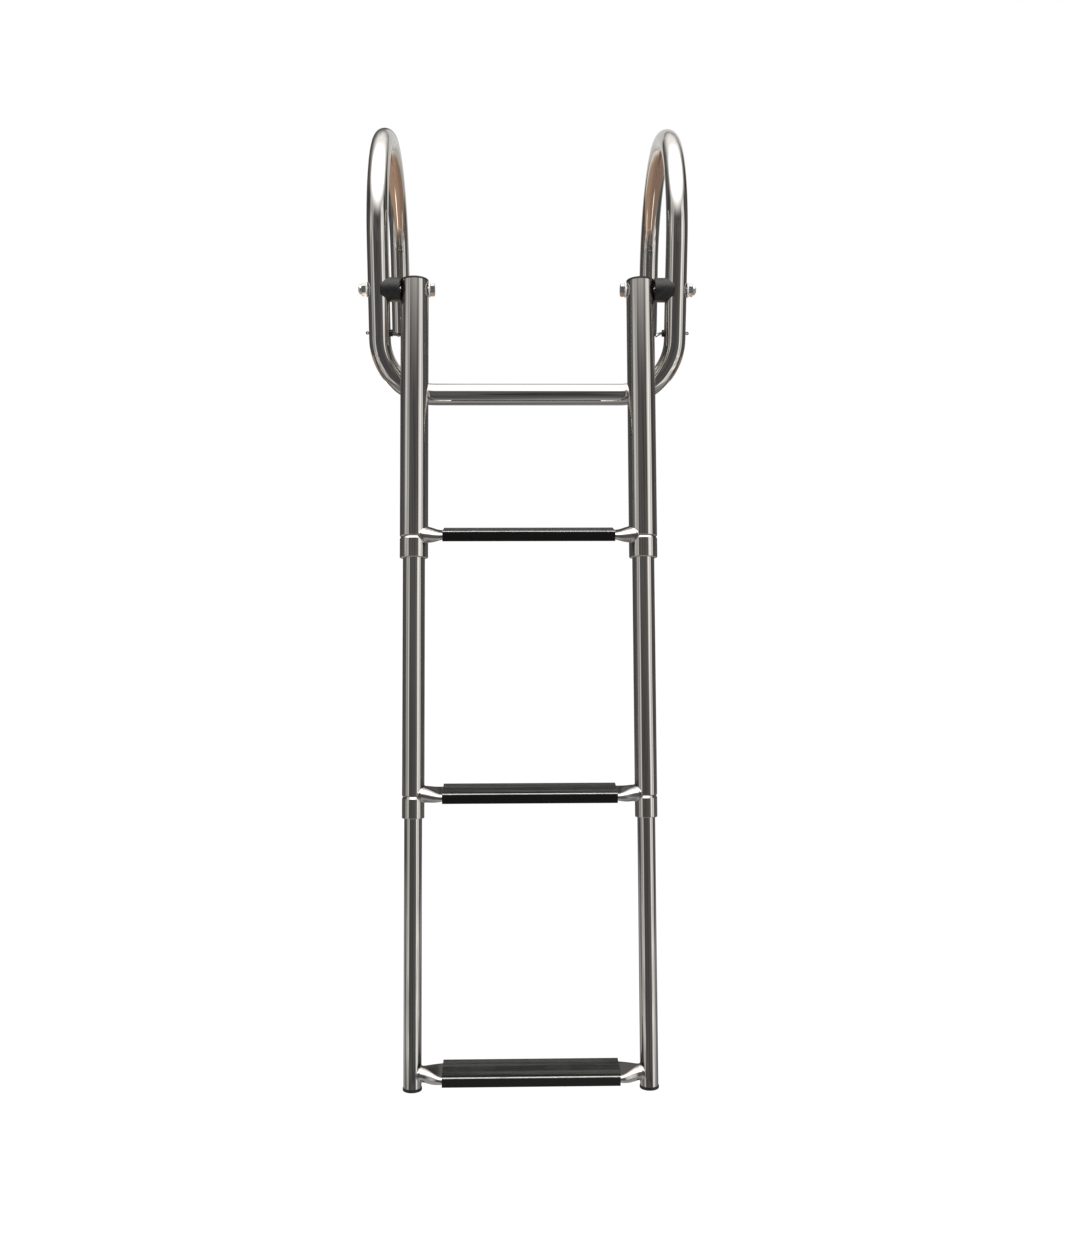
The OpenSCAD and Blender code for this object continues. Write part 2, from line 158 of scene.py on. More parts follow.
class NodeBoard:
    """The nodes of one material or world."""

    def __init__(self, tree: bpy.types.NodeTree) -> None:
        """Takes over a node tree and empties it."""
        self.tree = tree
        tree.nodes.clear()

    def add(
        self,
        kind: str,
        settings: Mapping[str, Any] | None = None,
        sockets: Mapping[int | str, Any] | None = None,
    ) -> bpy.types.Node:
        """Adds a node.

        Args:
            kind: The node's type.
            settings: Its properties.
            sockets: Values or wires for its inputs.

        Returns:
            The new node.
        """
        node = self.tree.nodes.new(kind)
        for name, value in (settings or {}).items():
            setattr(node, name, value)
        for key, value in (sockets or {}).items():
            if isinstance(value, Wire):
                self.tree.links.new(value.socket, node.inputs[key])
            else:
                node.inputs[key].default_value = value
        return node

    def wire(self, node: bpy.types.Node, output: int | str = 0) -> Wire:
        """Returns one output of a node as a wire."""
        return Wire(self, node.outputs[output])

    def place(self) -> Wire:
        """Returns the object coordinates, which are the frame's own metres."""
        return self.wire(self.add("ShaderNodeTexCoord"), "Object")

    def turned(
        self,
        place: Wire,
        scale: Sequence[float] = EVEN,
        rotation: Sequence[float] = ORIGIN,
        centre: Sequence[float] = ORIGIN,
    ) -> Wire:
        """Turns and stretches coordinates.

        Args:
            place: The coordinates.
            scale: Stretch of the pattern along its own axes.
            rotation: Angles of the pattern.
            centre: Where the pattern's origin lies.

        Returns:
            The pattern's own coordinates.
        """
        sockets = {
            "Vector": place,
            "Location": tuple(centre),
            "Rotation": tuple(rotation),
            "Scale": tuple(scale),
        }
        return self.wire(self.add("ShaderNodeMapping", {"vector_type": "TEXTURE"}, sockets))

    def noise(self, place: Wire, scale: float, detail: float = 2.0) -> Wire:
        """Returns noise from 0 to 1, with about scale features in a metre."""
        sockets = {"Vector": place, "Scale": scale, "Detail": detail}
        return self.wire(self.add("ShaderNodeTexNoise", None, sockets))

    def patches(self, place: Wire, scale: float, detail: float, low: float, high: float) -> Wire:
        """Cuts noise into patches with soft edges.

        Args:
            place: The coordinates.
            scale: Features in a metre.
            detail: Finer layers of the noise.
            low: Noise at which a patch begins.
            high: Noise from which it is full.

        Returns:
            0 outside the patches and 1 inside.
        """
        return self.ease(self.noise(place, scale, detail), low, high)

    def ease(self, value: Wire, low: float, high: float) -> Wire:
        """Returns 0 below low, 1 above high and an eased value between."""
        node = self.add(
            "ShaderNodeMapRange",
            {"interpolation_type": "SMOOTHSTEP"},
            {"Value": value, "From Min": low, "From Max": high},
        )
        return self.wire(node)

    def blend(self, share: Operand, first: Any, second: Any) -> Wire:
        """Mixes two colours.

        Args:
            share: 0 for the first colour, 1 for the second.
            first: A colour or a wire.
            second: A colour or a wire.

        Returns:
            The mixed colour.
        """
        parts = [c if isinstance(c, Wire) else rgba(c) for c in (first, second)]
        node = self.add("ShaderNodeMix", {"data_type": "RGBA"}, {0: share, 6: parts[0], 7: parts[1]})
        return self.wire(node, 2)

    def axes(self, place: Wire) -> tuple[Wire, Wire, Wire]:
        """Returns the three parts of a vector."""
        node = self.add("ShaderNodeSeparateXYZ", None, {0: place})
        return self.wire(node, 0), self.wire(node, 1), self.wire(node, 2)

    def bump(self, height: Wire, depth: float, under: Wire | None = None) -> Wire:
        """Turns a height into a normal.

        Args:
            height: Height from 0 to 1.
            depth: The real height in metres.
            under: A normal that this one is laid over.

        Returns:
            The new normal.
        """
        sockets: dict[int | str, Any] = {"Height": height, "Distance": depth, "Strength": 1.0}
        if under is not None:
            sockets["Normal"] = under
        return self.wire(self.add("ShaderNodeBump", None, sockets))

    def glow(self, colour: Any, level: Operand) -> bpy.types.Node:
        """Returns a shader that shines with a colour or a wire at a level."""
        shade = colour if isinstance(colour, Wire) else rgba(colour)
        return self.add("ShaderNodeEmission", None, {"Color": shade, "Strength": level})

    def mixed(self, share: Operand, first: bpy.types.Node, second: bpy.types.Node) -> bpy.types.Node:
        """Returns a mix of two shaders: the first at a share of 0, the second at 1."""
        sockets = {0: share, 1: self.wire(first), 2: self.wire(second)}
        return self.add("ShaderNodeMixShader", None, sockets)

    def end(self, shader: bpy.types.Node, kind: str = "Material") -> None:
        """Links a shader to the output of a material or a world."""
        self.add(f"ShaderNodeOutput{kind}", None, {"Surface": self.wire(shader)})

    def surface(self, sockets: Mapping[int | str, Any]) -> None:
        """Ends a material with a Principled shader."""
        self.end(self.add("ShaderNodeBsdfPrincipled", None, sockets))

    def seen(self) -> Wire:
        """Returns 1 for rays from the camera, a mirror or a glass, and 0 for rays that only light."""
        path = self.add("ShaderNodeLightPath")
        rays = [self.wire(path, name) for name in ("Is Camera Ray", "Is Glossy Ray", "Is Transmission Ray")]
        return rays[0].most(rays[1]).most(rays[2])


def new_material(name: str) -> tuple[bpy.types.Material, NodeBoard]:
    """Returns a new material and its empty board."""
    material = bpy.data.materials.new(name)
    material.use_nodes = True
    return material, NodeBoard(material.node_tree)


class Run(Enum):
    """The way a tube runs, as turn and stretch of its polishing lines."""

    LEANING = ((-LEAN, 0.0, 0.0), (1.0, 1.0, 60.0))
    UPRIGHT = ((0.0, 0.0, 0.0), (1.0, 1.0, 60.0))
    ACROSS = ((0.0, 0.0, 0.0), (60.0, 1.0, 1.0))


@dataclass(frozen=True)
class Finish:
    """A finish: the name of its material and the record's slot that it belongs to."""

    name: str
    slot: str

    def material(self) -> bpy.types.Material:
        """Returns the material, made at its first use."""
        found = bpy.data.materials.get(self.name)
        if found is not None:
            return found
        made, board = new_material(self.name)
        self.paint(board)
        return made

    def paint(self, board: NodeBoard) -> None:
        """Adds the finish's nodes to an empty board."""
        raise NotImplementedError


@dataclass(frozen=True)
class PolishedSteel(Finish):
    """Mirror-polished stainless tube with faint lengthwise polishing lines and finger smudges.

    Counts are features in a metre, ripple and line_depth are in metres.
    """

    run: Run = Run.UPRIGHT
    tint: Colour = (0.67, 0.655, 0.635)
    deep_tint: Colour = (0.57, 0.555, 0.535)
    gloss: float = 0.022
    ripple: float = 0.0007
    wave_count: float = 26.0
    wave_stretch: float = 0.08
    line_count: float = 1500.0
    line_depth: float = 0.0000025
    scratch_count: float = 5200.0
    smudge_count: float = 55.0

    def paint(self, board: NodeBoard) -> None:
        """Adds the tube's nodes.

        Args:
            board: The material's nodes.
        """
        rotation, scale = self.run.value
        place = board.place()
        along = board.turned(place, scale, rotation)
        lines = board.noise(along, self.line_count)
        soft = [1.0 + self.wave_stretch * (s - 1.0) for s in scale]
        waves = board.noise(board.turned(place, soft, rotation), self.wave_count, 1.0)
        smudges = board.patches(place, self.smudge_count, 4.0, 0.54, 0.72)
        scratches = board.patches(along, self.scratch_count, 1.0, 0.70, 0.78)
        tone = board.blend(waves * 0.7 + lines * 0.3, self.deep_tint, self.tint)
        roughness = self.gloss + lines * 0.02 + smudges * 0.04 + scratches * 0.06
        normal = board.bump(lines, self.line_depth, board.bump(waves, self.ripple))
        board.surface({"Base Color": tone, "Metallic": 1.0, "Roughness": roughness, "Normal": normal})


@dataclass(frozen=True)
class TurnedSteel(Finish):
    """Collar steel: turned, so its marks run round the upright. Counts are features in a metre."""

    tint: Colour = (0.69, 0.67, 0.64)
    deep_tint: Colour = (0.58, 0.56, 0.53)
    gloss: float = 0.05
    ring_count: float = 2600.0
    ring_depth: float = 0.0000025
    cloud_count: float = 120.0

    def paint(self, board: NodeBoard) -> None:
        """Adds the collar's nodes.

        Args:
            board: The material's nodes.
        """
        place = board.place()
        rings = board.noise(board.turned(place, (40.0, 40.0, 1.0), (-LEAN, 0.0, 0.0)), self.ring_count)
        clouds = board.noise(place, self.cloud_count, 3.0)
        tone = board.blend(clouds * 0.6 + rings * 0.4, self.deep_tint, self.tint)
        roughness = self.gloss + rings * 0.04 + board.ease(clouds, 0.5, 0.75) * 0.05
        normal = board.bump(rings, self.ring_depth)
        board.surface({"Base Color": tone, "Metallic": 1.0, "Roughness": roughness, "Normal": normal})


@dataclass(frozen=True)
class FastenerSteel(Finish):
    """Bolts, nuts, washers and pins: barrelled steel with small dents. Counts are features in a metre."""

    tint: Colour = (0.84, 0.83, 0.815)
    deep_tint: Colour = (0.74, 0.73, 0.715)
    gloss: float = 0.20
    metal: float = 1.0
    cloud_count: float = 420.0
    dent_count: float = 1500.0
    dent_depth: float = 0.000004

    def paint(self, board: NodeBoard) -> None:
        """Adds the fastener's nodes.

        Args:
            board: The material's nodes.
        """
        place = board.place()
        clouds = board.noise(place, self.cloud_count, 4.0)
        dents = board.noise(place, self.dent_count)
        tone = board.blend(clouds, self.deep_tint, self.tint)
        roughness = self.gloss + clouds * 0.14
        normal = board.bump(dents, self.dent_depth)
        board.surface({"Base Color": tone, "Metallic": self.metal, "Roughness": roughness, "Normal": normal})


@dataclass(frozen=True)
class RibbedPlastic(Finish):
    """Black extruded tread: satin, with lines along it, fine grain, dust between the ribs, a painted
    highlight along the nose and painted shade behind it.

    Heights and depths are metres from the tread's centre, the spans of the painted nose highlight and the
    painted shade band metres behind its nose, and counts features in a metre.
    """

    centre: tuple[float, float, float] = ORIGIN
    groove_floor: float = 0.00535
    rib_top: float = 0.00615
    rib_blur: float = 0.0001
    under_ribs: Span = (-0.0008, -0.0002)
    nose: float = -0.0188
    # The painted highlight along the nose: how far behind the nose it reaches and from what height it
    # starts.
    nose_highlight_end: Span = (0.0008, 0.0015)
    nose_highlight_height: Span = (0.0053, 0.0058)
    # The band of painted shade just behind the nose: where it starts and where it ends.
    shade_band_start: Span = (0.0012, 0.0020)
    shade_band_end: Span = (0.0050, 0.0068)
    tint: Colour = (0.0016, 0.0016, 0.0017)
    worn_tint: Colour = (0.0050, 0.0050, 0.0052)
    dust: Colour = (0.042, 0.041, 0.039)
    scuffed: Colour = (0.027, 0.027, 0.0265)
    trodden: Colour = (0.064, 0.064, 0.062)
    # Near-white colour of the painted highlight along the nose.
    nose_highlight: Colour = (0.86, 0.85, 0.83)
    line_count: float = 1300.0
    line_depth: float = 0.00003
    grain_count: float = 2600.0
    grain_depth: float = 0.00002
    cloud_count: float = 45.0
    band_count: float = 240.0

    def past(self, board: NodeBoard, depth: Wire, span: Span) -> Wire:
        """Returns 0 between the nose and a span, 1 behind the span and an eased value in it."""
        return board.ease(depth, self.nose + span[0], self.nose + span[1])

    def paint(self, board: NodeBoard) -> None:
        """Adds the tread's nodes.

        Args:
            board: The material's nodes.
        """
        own = board.turned(board.place(), centre=self.centre)
        lines = board.noise(board.turned(own, (50.0, 1.0, 1.0)), self.line_count)
        bands = board.patches(board.turned(own, (60.0, 1.0, 1.0)), self.band_count, 3.0, 0.44, 0.64)
        grain = board.noise(own, self.grain_count, 3.0)
        clouds = board.noise(own, self.cloud_count, 4.0)
        _, depth, height = board.axes(own)
        sunk = 1.0 - board.ease(height, self.groove_floor + self.rib_blur, self.rib_top - self.rib_blur)
        above = board.ease(height, *(self.groove_floor + under for under in self.under_ribs))
        dusty = sunk * above * board.ease(clouds, 0.38, 0.72)
        # Painted shade: a band just behind the nose goes back to the bare black and gets rougher, as if
        # shaded in the groove there.
        painted_shade_band = self.past(board, depth, self.shade_band_start) * (1.0 - self.past(board, depth, self.shade_band_end))
        # Painted highlight: a patchy near-white line along the top of the nose.
        edge = (1.0 - self.past(board, depth, self.nose_highlight_end)) * board.ease(height, *self.nose_highlight_height)
        tone = board.blend(lines * 0.55 + clouds * 0.45, self.tint, self.worn_tint)
        tone = board.blend(above * board.ease(lines * 0.6 + clouds * 0.4, 0.25, 0.7), tone, self.scuffed)
        tone = board.blend(dusty * 0.55, tone, self.dust)
        tone = board.blend(above * bands, tone, self.trodden)
        # The painted shade behind the nose is mixed in here.
        tone = board.blend(painted_shade_band * 0.9, tone, self.tint)
        # The painted highlight along the nose is mixed in here.
        tone = board.blend(edge * board.ease(lines * 0.4 + clouds * 0.6, 0.15, 0.5), tone, self.nose_highlight)
        roughness = 0.23 + lines * 0.12 + clouds * 0.08 + dusty * 0.25 + painted_shade_band * 0.4
        normal = board.bump(grain, self.grain_depth, board.bump(lines, self.line_depth))
        sockets = {"Base Color": tone, "Roughness": roughness, "Normal": normal, "Specular IOR Level": 0.42}
        board.surface(sockets)


@dataclass(frozen=True)
class MouldedRubber(Finish):
    """Black moulded rubber: matt grain with paler rubbed spots. Counts are features in a metre."""

    tint: Colour = (0.010, 0.0102, 0.0105)
    rubbed_tint: Colour = (0.021, 0.021, 0.0215)
    gloss: float = 0.40
    cloud_count: float = 180.0
    grain_count: float = 3800.0
    grain_depth: float = 0.000008

    def paint(self, board: NodeBoard) -> None:
        """Adds the rubber's nodes.

        Args:
            board: The material's nodes.
        """
        place = board.place()
        clouds = board.noise(place, self.cloud_count, 4.0)
        grain = board.noise(place, self.grain_count)
        tone = board.blend(board.ease(clouds, 0.35, 0.75), self.tint, self.rubbed_tint)
        roughness = self.gloss + clouds * 0.10
        normal = board.bump(grain, self.grain_depth)
        board.surface({"Base Color": tone, "Roughness": roughness, "Normal": normal})


@dataclass(frozen=True)
class GuideNylon(Finish):
    """Milky nylon of the guide bushes and stop rings, greyed where it rubs."""

    tint: Colour = (0.70, 0.68, 0.61)
    rubbed_tint: Colour = (0.50, 0.48, 0.43)
    gloss: float = 0.34
    rub_count: float = 700.0
    rub_depth: float = 0.00002

    def paint(self, board: NodeBoard) -> None:
        """Adds the nylon's nodes.

        Args:
            board: The material's nodes.
        """
        along = board.turned(board.place(), (1.0, 1.0, 25.0), (-LEAN, 0.0, 0.0))
        rub = board.noise(along, self.rub_count, 3.0)
        tone = board.blend(board.ease(rub, 0.4, 0.7), self.tint, self.rubbed_tint)
        roughness = self.gloss + rub * 0.18
        normal = board.bump(rub, self.rub_depth)
        board.surface({"Base Color": tone, "Roughness": roughness, "Normal": normal})


@dataclass(frozen=True)
class SoftPanel:
    """A soft upright panel of the studio.

    Angles are in degrees, 0 at the camera's side and level with the ladder's middle.
    """

    around: float
    width: float
    low: float
    high: float
    level: float
    blur: float = 6.0

    def shine(self, board: NodeBoard, around: Wire, rise: Wire) -> Wire:
        """Gives the panel's light.

        Args:
            board: The material's nodes.
            around: Degrees from the camera's side towards the right.
            rise: Degrees above the ladder's middle.

        Returns:
            The panel's brightness, 0 outside it.
        """
        left, right = self.around - self.width / 2, self.around + self.width / 2
        across = board.ease(around, left, left + self.blur)
        across = across * (1.0 - board.ease(around, right - self.blur, right))
        upright = board.ease(rise, self.low, self.low + self.blur)
        return across * upright * (1.0 - board.ease(rise, self.high - self.blur, self.high)) * self.level


PANELS = (
    SoftPanel(60.0, 45.0, -30.0, 40.0, 0.8),
    SoftPanel(-60.0, 45.0, -30.0, 40.0, 0.5),
)


class Stage:
    """Sets up what stands round the ladder and isn't part of it."""

    @staticmethod
    def stand(name: str, bm: bmesh.types.BMesh, material: bpy.types.Material) -> bpy.types.Object:
        """Makes a stage object of a mesh.

        Args:
            name: The object's name.
            bm: Its mesh, which is freed.
            material: Its material.

        Returns:
            The object.
        """
        mesh = bpy.data.meshes.new(name)
        bm.to_mesh(mesh)
        bm.free()
        mesh.materials.append(material)
        stand = bpy.data.objects.new(name, mesh)
        bpy.context.scene.collection.objects.link(stand)
        return stand

    @classmethod
    def mirrored(cls, name: str, bm: bmesh.types.BMesh, material: bpy.types.Material) -> None:
        """Makes a stage object that is seen in the metal alone.

        Args:
            name: The object's name.
            bm: Its mesh, which is freed.
            material: Its material.
        """
        stand = cls.stand(name, bm, material)
        for ray in ("camera", "diffuse", "transmission", "volume_scatter", "shadow"):
            setattr(stand, f"visible_{ray}", False)

    @staticmethod
    def veil(board: NodeBoard, colour: Wire, hidden: Wire, level: Operand = 1.0) -> None:
        """Ends a material as a glow that fades out.

        Args:
            board: The material's nodes.
            colour: The glow.
            hidden: Where it is 1, nothing shows.
            level: The glow's strength.
        """
        clear = board.add("ShaderNodeBsdfTransparent")
        board.end(board.mixed(hidden, board.glow(colour, level), clear))


@dataclass
class StudioDome:
    """A dark dome for the metal to mirror, with a bright ceiling and a soft panel at each side.

    Radius, gap and ceiling_back are in metres, heights in degrees above the ladder's middle.
    """

    radius: float = 8.0
    floor_gap: float = 0.01
    tint: Colour = (1.0, 0.98, 0.95)
    room: float = 0.1
    ground: float = 0.2
    ground_end: Span = (-40.0, -10.0)
    ceiling: float = 3.0
    ceiling_start: Span = (30.0, 60.0)
    ceiling_back: Span = (0.0, 4.0)
    ceiling_fade: float = 0.6
    fold_count: float = 0.9
    fold_base: float = 0.5

    def mesh(self) -> bmesh.types.BMesh:
        """Cuts a sphere off just above the floor and closes it there.

        Returns:
            The dome's mesh.
        """
        bm = bmesh.new()
        bmesh.ops.create_uvsphere(bm, u_segments=64, v_segments=32, radius=self.radius)
        bmesh.ops.translate(bm, verts=bm.verts, vec=MIDDLE)
        base = Vector((0.0, 0.0, FLOOR_Z + self.floor_gap))
        geometry = bm.verts[:] + bm.edges[:] + bm.faces[:]
        cut = bmesh.ops.bisect_plane(bm, geom=geometry, plane_co=base, plane_no=(0, 0, 1), clear_inner=True)
        rim = [g for g in cut["geom_cut"] if isinstance(g, bmesh.types.BMEdge)]
        bmesh.ops.edgeloop_fill(bm, edges=rim)
        return bm

    def build(self) -> None:
        """Paints the dome and hangs it."""
        material, board = new_material("studio_dome")
        place = board.turned(board.place(), centre=MIDDLE)
        x, y, z = board.axes(place)
        around = x.turn(0.0 - y) * math.degrees(1.0)
        rise = z.turn((x * x + y * y).root()) * math.degrees(1.0)
        bright = self.room + (1.0 - board.ease(rise, *self.ground_end)) * self.ground
        for panel in PANELS:
            bright = bright + panel.shine(board, around, rise)
        above = board.ease(rise, *self.ceiling_start)
        above = above * (1.0 - board.ease(y, *self.ceiling_back) * self.ceiling_fade)
        folds = board.patches(board.turned(place, (1.0, 1.0, 8.0)), self.fold_count, 4.0, 0.36, 0.64)
        bright = bright * (self.fold_base + folds) + above * self.ceiling
        board.end(board.glow(self.tint, bright))
        Stage.mirrored("studio_dome", self.mesh(), material)


@dataclass
class BrownBoard:
    """A brown board that the hooks mirror, behind the ladder and turned up at its front. Sizes in metres."""

    width: float = 3.0
    length: float = 2.7
    centre: Vector = Vector((0.0, 1.25, -0.30))
    upstand: float = 0.185
    grain_count: float = 20.0
    dark: Colour = (0.24, 0.155, 0.108)
    light: Colour = (0.44, 0.30, 0.215)
    faded: Colour = (0.60, 0.575, 0.535)
    fade: Span = (0.40, 1.10)
    paper: Colour = (2.0, 1.8, 1.55)
    paper_share: float = 0.95
    paper_inner: Span = (0.166, 0.178)
    paper_outer: Span = (0.194, 0.208)
    paper_back: Span = (0.02, 0.10)
    paper_top: Span = (-0.27, -0.22)
    top: Span = (-0.285, -0.185)
    sides: Span = (0.36, 0.46)
    spread: float = 0.6
    left: Span = (-0.12, 0.12)
    left_glow: float = 0.5

    def mesh(self) -> bmesh.types.BMesh:
        """Lays the board and draws its front edge up.

        Returns:
            The board's mesh, which faces up and backwards.
        """
        bm = bmesh.new()
        bmesh.ops.create_grid(bm, x_segments=1, y_segments=1, size=0.5)
        bmesh.ops.scale(bm, verts=bm.verts, vec=(self.width, self.length, 1.0))
        bmesh.ops.translate(bm, verts=bm.verts, vec=self.centre)
        front = [e for e in bm.edges if max(v.co.y for v in e.verts) < 0.0]
        made = bmesh.ops.extrude_edge_only(bm, edges=front)["geom"]
        raised = [g for g in made if isinstance(g, bmesh.types.BMVert)]
        bmesh.ops.translate(bm, verts=raised, vec=(0, 0, self.upstand))
        bmesh.ops.recalc_face_normals(bm, faces=bm.faces)
        bmesh.ops.reverse_faces(bm, faces=[f for f in bm.faces if f.normal.y + f.normal.z < 0.0])
        return bm

    def build(self) -> None:
        """Paints the board and lays it."""
        material, board = new_material("brown_timber")
        place = board.place()
        x, y, z = board.axes(place)
        side = (x * x).root()
        grain = board.noise(board.turned(place, (0.3, 1.0, 2.0)), self.grain_count, 3.0)
        colour = board.blend(grain, self.dark, self.light)
        colour = board.blend(board.ease(y, *self.fade), colour, self.faded)
        strip = board.ease(side, *self.paper_inner) * (1.0 - board.ease(side, *self.paper_outer))
        strip = strip * (1.0 - board.ease(y, *self.paper_back)) * (1.0 - board.ease(z, *self.paper_top))
        colour = board.blend(strip * self.paper_share, colour, self.paper)
        behind = board.wire(board.add("ShaderNodeNewGeometry"), "Backfacing")
        hidden = behind.most(board.ease(z, *self.top))
        hidden = hidden.most(board.ease(side - y.most(0.0) * self.spread, *self.sides))
        lit = 1.0 + (1.0 - board.ease(x, *self.left)) * self.left_glow
        Stage.veil(board, colour, hidden, lit)
        Stage.mirrored("brown_boards", self.mesh(), material)


@dataclass
class PaleSheet:
    """A pale sheet that the tops of the hooks mirror, hung behind them. Sizes in metres."""

    width: float = 2.0
    height: float = 0.62
    centre: Vector = Vector((0.3, 0.62, 0.19))
    low: Colour = (0.60, 0.575, 0.535)
    high: Colour = (0.70, 0.69, 0.67)
    change: Span = (-0.10, 0.10)
    left: Span = (-0.20, -0.10)
    right: Span = (0.5, 0.8)
    foot: Span = (-0.10, -0.03)

    def build(self) -> None:
        """Paints the sheet and hangs it."""
        bm = bmesh.new()
        bmesh.ops.create_grid(bm, x_segments=1, y_segments=1, size=0.5)
        bmesh.ops.scale(bm, verts=bm.verts, vec=(self.width, self.height, 1.0))
        upright = Matrix.Rotation(math.pi / 2, 3, "X")
        bmesh.ops.rotate(bm, verts=bm.verts, cent=ORIGIN, matrix=upright)
        bmesh.ops.translate(bm, verts=bm.verts, vec=self.centre)
        material, board = new_material("pale_linen")
        x, _, z = board.axes(board.place())
        colour = board.blend(board.ease(z, *self.change), self.low, self.high)
        hidden = (1.0 - board.ease(x, *self.left)).most(board.ease(x, *self.right))
        hidden = hidden.most(1.0 - board.ease(z, *self.foot))
        Stage.veil(board, colour, hidden)
        Stage.mirrored("pale_sheet", bm, material)


@dataclass(frozen=True)
class SoftLamp:
    """A soft lamp that faces the ladder and isn't mirrored in it.

    Around is in degrees from the camera's side towards the right, above in degrees over the ladder's middle.
    Reach, width and height are in metres, and level is the brightness of its face.
    """

    name: str
    around: float
    above: float
    reach: float
    width: float
    height: float
    level: float

    def build(self) -> None:
        """Hangs the lamp."""
        data = bpy.data.lights.new(self.name, "AREA")
        data.shape = "RECTANGLE"
        data.size = self.width
        data.size_y = self.height
        data.energy = self.level * math.pi * self.width * self.height
        lamp = bpy.data.objects.new(self.name, data)
        a, e = math.radians(self.around), math.radians(self.above)
        out = Vector((math.sin(a) * math.cos(e), -math.cos(a) * math.cos(e), math.sin(e)))
        turn = out.to_track_quat("Z", "Y").to_matrix().to_4x4()
        lamp.matrix_world = Matrix.Translation(MIDDLE + out * self.reach) @ turn
        lamp.visible_camera = False
        lamp.visible_glossy = False
        bpy.context.scene.collection.objects.link(lamp)


LAMPS = (
    SoftLamp("key_lamp", 18.0, 50.0, 2.2, 1.8, 0.8, 4.0),
    SoftLamp("fill_lamp", -55.0, 30.0, 2.4, 1.4, 1.4, 0.8),
    SoftLamp("back_lamp", 200.0, 48.0, 2.4, 1.4, 0.8, 3.0),
)


@dataclass
class Studio:
    """Floor, surroundings that the metal mirrors, lamps and camera. Sizes in metres, lens in millimetres."""

    eye: Vector = Vector((-0.02026, -1.52878, -0.30654))
    ahead: Vector = Vector((0.0192, 0.98319, -0.18157))
    upward: Vector = Vector((0.00319, 0.18155, 0.98338))
    lens: float = 33.904
    sensor: float = 36.0
    near: float = 0.01
    room_light: float = 0.55
    floor_radius: float = 9.0
    floor_tint: Colour = (0.88, 0.88, 0.88)
    floor_glow: float = 1.08
    floor_share: float = 0.9

    def camera(self) -> None:
        """Adds the camera at the photograph's place."""
        data = bpy.data.cameras.new("photo_camera")
        data.lens = self.lens
        data.sensor_width = self.sensor
        data.clip_start = self.near
        camera = bpy.data.objects.new("photo_camera", data)
        back = -self.ahead.normalized()
        right = self.upward.cross(back).normalized()
        turn = Matrix((right, back.cross(right), back)).transposed().to_4x4()
        camera.matrix_world = Matrix.Translation(self.eye) @ turn
        bpy.context.scene.collection.objects.link(camera)
        bpy.context.scene.camera = camera

    def world(self) -> None:
        """Lights the scene evenly and shows white behind it."""
        world = bpy.data.worlds.new("white_studio")
        world.use_nodes = True
        board = NodeBoard(world.node_tree)
        light = board.add("ShaderNodeBackground", None, {"Color": rgba(WHITE), "Strength": self.room_light})
        white = board.add("ShaderNodeBackground", None, {"Color": rgba(WHITE), "Strength": 1.0})
        board.end(board.mixed(board.seen(), light, white), "World")
        bpy.context.scene.world = world

    def floor(self) -> None:
        """Lays a pale floor that keeps a faint shadow."""
        bm = bmesh.new()
        bmesh.ops.create_circle(bm, cap_ends=True, segments=64, radius=self.floor_radius)
        bmesh.ops.translate(bm, verts=bm.verts, vec=(0.0, 0.0, FLOOR_Z))
        material, board = new_material("pale_floor")
        paint = board.add("ShaderNodeBsdfDiffuse", None, {"Color": rgba(self.floor_tint)})
        glow = board.glow(WHITE, self.floor_glow)
        board.end(board.mixed(board.seen() * self.floor_share, paint, glow))
        Stage.stand("floor", bm, material)

    def build(self) -> None:
        """Sets up the whole studio."""
        bpy.context.scene.view_settings.view_transform = "Standard"
        self.camera()
        self.world()
        self.floor()
        StudioDome().build()
        BrownBoard().build()
        PaleSheet().build()
        for lamp in LAMPS:
            lamp.build()


class Ends(Enum):
    """What becomes of the two ends of a loft."""

    OPEN = "open"
    FILLED = "filled"
    JOINED = "joined"


